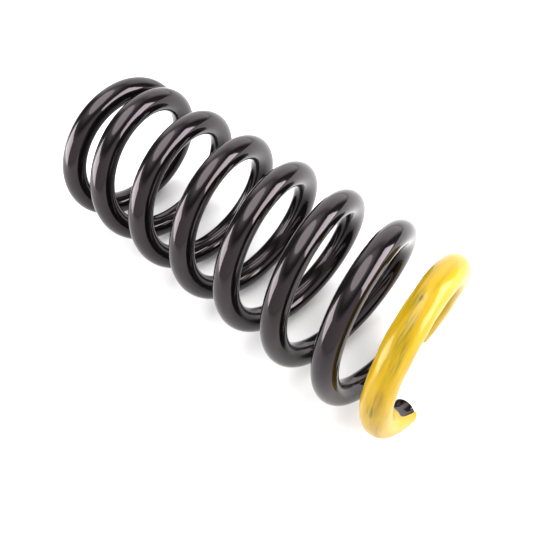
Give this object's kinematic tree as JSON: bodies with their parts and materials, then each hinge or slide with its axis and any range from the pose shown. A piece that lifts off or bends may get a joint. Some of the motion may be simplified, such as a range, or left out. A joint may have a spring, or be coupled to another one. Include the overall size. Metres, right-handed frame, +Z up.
{
  "type": "coil spring",
  "caption": "Open-wound suspension coil spring of black coated round wire, closed at its smaller end, with a yellow plastic sleeve over the open end.",
  "frame": {"origin": "centre of the bottom of the bounding box, on the floor that the spring lies on", "axes": "X runs along the coil from the closed end (-X) to the open end with the sleeve (+X), and the coil's own axis rises toward +X by 1.4 degrees because the coil grows; Z is up; Y is across"},
  "size_m": [0.2305, 0.0966, 0.0961],
  "materials": {
    "wire": "smooth glossy black coating on steel wire",
    "sleeve": "glossy golden-yellow plastic tube, streaked and worn, split open at its end"
  },
  "bodies": {
    "closed_end": {"closed_end_coil": "wire"},
    "turn_2_quarter_1": {"turn_2_quarter_1": "wire"},
    "turn_2_quarter_2": {"turn_2_quarter_2": "wire"},
    "turn_2_quarter_3": {"turn_2_quarter_3": "wire"},
    "turn_2_quarter_4": {"turn_2_quarter_4": "wire"},
    "turn_3_quarter_1": {"turn_3_quarter_1": "wire"},
    "turn_3_quarter_2": {"turn_3_quarter_2": "wire"},
    "turn_3_quarter_3": {"turn_3_quarter_3": "wire"},
    "turn_3_quarter_4": {"turn_3_quarter_4": "wire"},
    "turn_4_quarter_1": {"turn_4_quarter_1": "wire"},
    "turn_4_quarter_2": {"turn_4_quarter_2": "wire"},
    "turn_4_quarter_3": {"turn_4_quarter_3": "wire"},
    "turn_4_quarter_4": {"turn_4_quarter_4": "wire"},
    "turn_5_quarter_1": {"turn_5_quarter_1": "wire"},
    "turn_5_quarter_2": {"turn_5_quarter_2": "wire"},
    "turn_5_quarter_3": {"turn_5_quarter_3": "wire"},
    "turn_5_quarter_4": {"turn_5_quarter_4": "wire"},
    "turn_6_quarter_1": {"turn_6_quarter_1": "wire"},
    "turn_6_quarter_2": {"turn_6_quarter_2": "wire"},
    "turn_6_quarter_3": {"turn_6_quarter_3": "wire"},
    "turn_6_quarter_4": {"turn_6_quarter_4": "wire"},
    "turn_7_quarter_1": {"turn_7_quarter_1": "wire"},
    "turn_7_quarter_2": {"turn_7_quarter_2": "wire"},
    "turn_7_quarter_3": {"turn_7_quarter_3": "wire"},
    "open_end": {"open_end_coil": "wire", "end_sleeve": "sleeve"}
  },
  "joints": [
    {"name": "twist_at_turn_2_quarter_1", "type": "hinge", "parent": "closed_end", "child": "turn_2_quarter_1", "pos_m": [-0.09465, 0.03242, 0.06295], "axis": [-0.0828, 0.4973, -0.8636], "range_deg": [0, 3.1], "stiffness_Nm_per_rad": 3710},
    {"name": "twist_at_turn_2_quarter_2", "type": "hinge", "parent": "turn_2_quarter_1", "child": "turn_2_quarter_2", "pos_m": [-0.08714, -0.01903, 0.07692], "axis": [-0.1155, 0.8614, 0.4946], "range_deg": [0, 3.08], "stiffness_Nm_per_rad": 3690},
    {"name": "twist_at_turn_2_quarter_3", "type": "hinge", "parent": "turn_2_quarter_2", "child": "turn_2_quarter_3", "pos_m": [-0.07803, -0.03289, 0.02541], "axis": [-0.1239, -0.4973, 0.8587], "range_deg": [0, 6.15], "stiffness_Nm_per_rad": 3670},
    {"name": "twist_at_turn_2_quarter_4", "type": "hinge", "parent": "turn_2_quarter_3", "child": "turn_2_quarter_4", "pos_m": [-0.06984, 0.01909, 0.01168], "axis": [-0.0901, -0.8615, -0.4997], "range_deg": [0, 6.12], "stiffness_Nm_per_rad": 3650},
    {"name": "twist_at_turn_3_quarter_1", "type": "hinge", "parent": "turn_2_quarter_4", "child": "turn_3_quarter_1", "pos_m": [-0.06327, 0.03309, 0.0641], "axis": [-0.0807, 0.4974, -0.8638], "range_deg": [0, 6.09], "stiffness_Nm_per_rad": 3640},
    {"name": "twist_at_turn_3_quarter_2", "type": "hinge", "parent": "turn_3_quarter_1", "child": "turn_3_quarter_2", "pos_m": [-0.05577, -0.01942, 0.07836], "axis": [-0.1135, 0.8616, 0.4948], "range_deg": [0, 6.06], "stiffness_Nm_per_rad": 3620},
    {"name": "twist_at_turn_3_quarter_3", "type": "hinge", "parent": "turn_3_quarter_2", "child": "turn_3_quarter_3", "pos_m": [-0.04663, -0.03356, 0.0258], "axis": [-0.1219, -0.4975, 0.8589], "range_deg": [0, 6.03], "stiffness_Nm_per_rad": 3600},
    {"name": "twist_at_turn_3_quarter_4", "type": "hinge", "parent": "turn_3_quarter_3", "child": "turn_3_quarter_4", "pos_m": [-0.03843, 0.01947, 0.01179], "axis": [-0.0881, -0.8617, -0.4998], "range_deg": [0, 6], "stiffness_Nm_per_rad": 3580},
    {"name": "twist_at_turn_4_quarter_1", "type": "hinge", "parent": "turn_3_quarter_4", "child": "turn_4_quarter_1", "pos_m": [-0.03189, 0.03375, 0.06526], "axis": [-0.0787, 0.4975, -0.8639], "range_deg": [0, 5.97], "stiffness_Nm_per_rad": 3570},
    {"name": "twist_at_turn_4_quarter_2", "type": "hinge", "parent": "turn_4_quarter_1", "child": "turn_4_quarter_2", "pos_m": [-0.02439, -0.0198, 0.0798], "axis": [-0.1115, 0.8617, 0.4949], "range_deg": [0, 5.94], "stiffness_Nm_per_rad": 3550},
    {"name": "twist_at_turn_4_quarter_3", "type": "hinge", "parent": "turn_4_quarter_2", "child": "turn_4_quarter_3", "pos_m": [-0.01523, -0.03422, 0.02618], "axis": [-0.12, -0.4975, 0.8591], "range_deg": [0, 5.91], "stiffness_Nm_per_rad": 3530},
    {"name": "twist_at_turn_4_quarter_4", "type": "hinge", "parent": "turn_4_quarter_3", "child": "turn_4_quarter_4", "pos_m": [-0.00702, 0.01986, 0.01189], "axis": [-0.0862, -0.8618, -0.4998], "range_deg": [0, 5.89], "stiffness_Nm_per_rad": 3520},
    {"name": "twist_at_turn_5_quarter_1", "type": "hinge", "parent": "turn_4_quarter_4", "child": "turn_5_quarter_1", "pos_m": [-0.00051, 0.03442, 0.06641], "axis": [-0.0768, 0.4976, -0.864], "range_deg": [0, 5.86], "stiffness_Nm_per_rad": 3500},
    {"name": "twist_at_turn_5_quarter_2", "type": "hinge", "parent": "turn_5_quarter_1", "child": "turn_5_quarter_2", "pos_m": [0.00698, -0.02019, 0.08123], "axis": [-0.1097, 0.8619, 0.4951], "range_deg": [0, 5.83], "stiffness_Nm_per_rad": 3480},
    {"name": "twist_at_turn_5_quarter_3", "type": "hinge", "parent": "turn_5_quarter_2", "child": "turn_5_quarter_3", "pos_m": [0.01617, -0.03489, 0.02657], "axis": [-0.1181, -0.4976, 0.8593], "range_deg": [0, 5.8], "stiffness_Nm_per_rad": 3470},
    {"name": "twist_at_turn_5_quarter_4", "type": "hinge", "parent": "turn_5_quarter_3", "child": "turn_5_quarter_4", "pos_m": [0.02438, 0.02024, 0.01199], "axis": [-0.0843, -0.862, -0.4999], "range_deg": [0, 5.78], "stiffness_Nm_per_rad": 3450},
    {"name": "twist_at_turn_6_quarter_1", "type": "hinge", "parent": "turn_5_quarter_4", "child": "turn_6_quarter_1", "pos_m": [0.03087, 0.03509, 0.06757], "axis": [-0.0749, 0.4977, -0.8641], "range_deg": [0, 5.75], "stiffness_Nm_per_rad": 3430},
    {"name": "twist_at_turn_6_quarter_2", "type": "hinge", "parent": "turn_6_quarter_1", "child": "turn_6_quarter_2", "pos_m": [0.03836, -0.02057, 0.08267], "axis": [-0.1078, 0.8621, 0.4952], "range_deg": [0, 5.72], "stiffness_Nm_per_rad": 3420},
    {"name": "twist_at_turn_6_quarter_3", "type": "hinge", "parent": "turn_6_quarter_2", "child": "turn_6_quarter_3", "pos_m": [0.04757, -0.03556, 0.02695], "axis": [-0.1163, -0.4977, 0.8595], "range_deg": [0, 5.7], "stiffness_Nm_per_rad": 3400},
    {"name": "twist_at_turn_6_quarter_4", "type": "hinge", "parent": "turn_6_quarter_3", "child": "turn_6_quarter_4", "pos_m": [0.05579, 0.02063, 0.0121], "axis": [-0.0825, -0.8621, -0.4999], "range_deg": [0, 5.67], "stiffness_Nm_per_rad": 3390},
    {"name": "twist_at_turn_7_quarter_1", "type": "hinge", "parent": "turn_6_quarter_4", "child": "turn_7_quarter_1", "pos_m": [0.06225, 0.03576, 0.06872], "axis": [-0.0732, 0.4978, -0.8642], "range_deg": [0, 5.64], "stiffness_Nm_per_rad": 3370},
    {"name": "twist_at_turn_7_quarter_2", "type": "hinge", "parent": "turn_7_quarter_1", "child": "turn_7_quarter_2", "pos_m": [0.06973, -0.02096, 0.0841], "axis": [-0.1061, 0.8622, 0.4953], "range_deg": [0, 5.62], "stiffness_Nm_per_rad": 3360},
    {"name": "twist_at_turn_7_quarter_3", "type": "hinge", "parent": "turn_7_quarter_2", "child": "turn_7_quarter_3", "pos_m": [0.07897, -0.03622, 0.02734], "axis": [-0.1146, -0.4978, 0.8597], "range_deg": [0, 2.81], "stiffness_Nm_per_rad": 3340},
    {"name": "twist_at_open_end", "type": "hinge", "parent": "turn_7_quarter_3", "child": "open_end", "pos_m": [0.0872, 0.02101, 0.0122], "axis": [-0.0808, -0.8623, -0.5], "range_deg": [0, 2.82], "stiffness_Nm_per_rad": 3540}
  ],
  "couplings": [
    {"joint": "twist_at_turn_2_quarter_2", "follows": "twist_at_turn_2_quarter_1", "ratio": 0.9854},
    {"joint": "twist_at_turn_2_quarter_3", "follows": "twist_at_turn_2_quarter_1", "ratio": 1.9765},
    {"joint": "twist_at_turn_2_quarter_4", "follows": "twist_at_turn_2_quarter_1", "ratio": 1.9666},
    {"joint": "twist_at_turn_3_quarter_1", "follows": "twist_at_turn_2_quarter_1", "ratio": 1.9568},
    {"joint": "twist_at_turn_3_quarter_2", "follows": "twist_at_turn_2_quarter_1", "ratio": 1.9471},
    {"joint": "twist_at_turn_3_quarter_3", "follows": "twist_at_turn_2_quarter_1", "ratio": 1.9376},
    {"joint": "twist_at_turn_3_quarter_4", "follows": "twist_at_turn_2_quarter_1", "ratio": 1.9281},
    {"joint": "twist_at_turn_4_quarter_1", "follows": "twist_at_turn_2_quarter_1", "ratio": 1.9187},
    {"joint": "twist_at_turn_4_quarter_2", "follows": "twist_at_turn_2_quarter_1", "ratio": 1.9094},
    {"joint": "twist_at_turn_4_quarter_3", "follows": "twist_at_turn_2_quarter_1", "ratio": 1.9001},
    {"joint": "twist_at_turn_4_quarter_4", "follows": "twist_at_turn_2_quarter_1", "ratio": 1.891},
    {"joint": "twist_at_turn_5_quarter_1", "follows": "twist_at_turn_2_quarter_1", "ratio": 1.882},
    {"joint": "twist_at_turn_5_quarter_2", "follows": "twist_at_turn_2_quarter_1", "ratio": 1.873},
    {"joint": "twist_at_turn_5_quarter_3", "follows": "twist_at_turn_2_quarter_1", "ratio": 1.8641},
    {"joint": "twist_at_turn_5_quarter_4", "follows": "twist_at_turn_2_quarter_1", "ratio": 1.8553},
    {"joint": "twist_at_turn_6_quarter_1", "follows": "twist_at_turn_2_quarter_1", "ratio": 1.8466},
    {"joint": "twist_at_turn_6_quarter_2", "follows": "twist_at_turn_2_quarter_1", "ratio": 1.838},
    {"joint": "twist_at_turn_6_quarter_3", "follows": "twist_at_turn_2_quarter_1", "ratio": 1.8295},
    {"joint": "twist_at_turn_6_quarter_4", "follows": "twist_at_turn_2_quarter_1", "ratio": 1.821},
    {"joint": "twist_at_turn_7_quarter_1", "follows": "twist_at_turn_2_quarter_1", "ratio": 1.8126},
    {"joint": "twist_at_turn_7_quarter_2", "follows": "twist_at_turn_2_quarter_1", "ratio": 1.8043},
    {"joint": "twist_at_turn_7_quarter_3", "follows": "twist_at_turn_2_quarter_1", "ratio": 0.90008},
    {"joint": "twist_at_open_end", "follows": "twist_at_turn_2_quarter_1", "ratio": 0.90306}
  ]
}
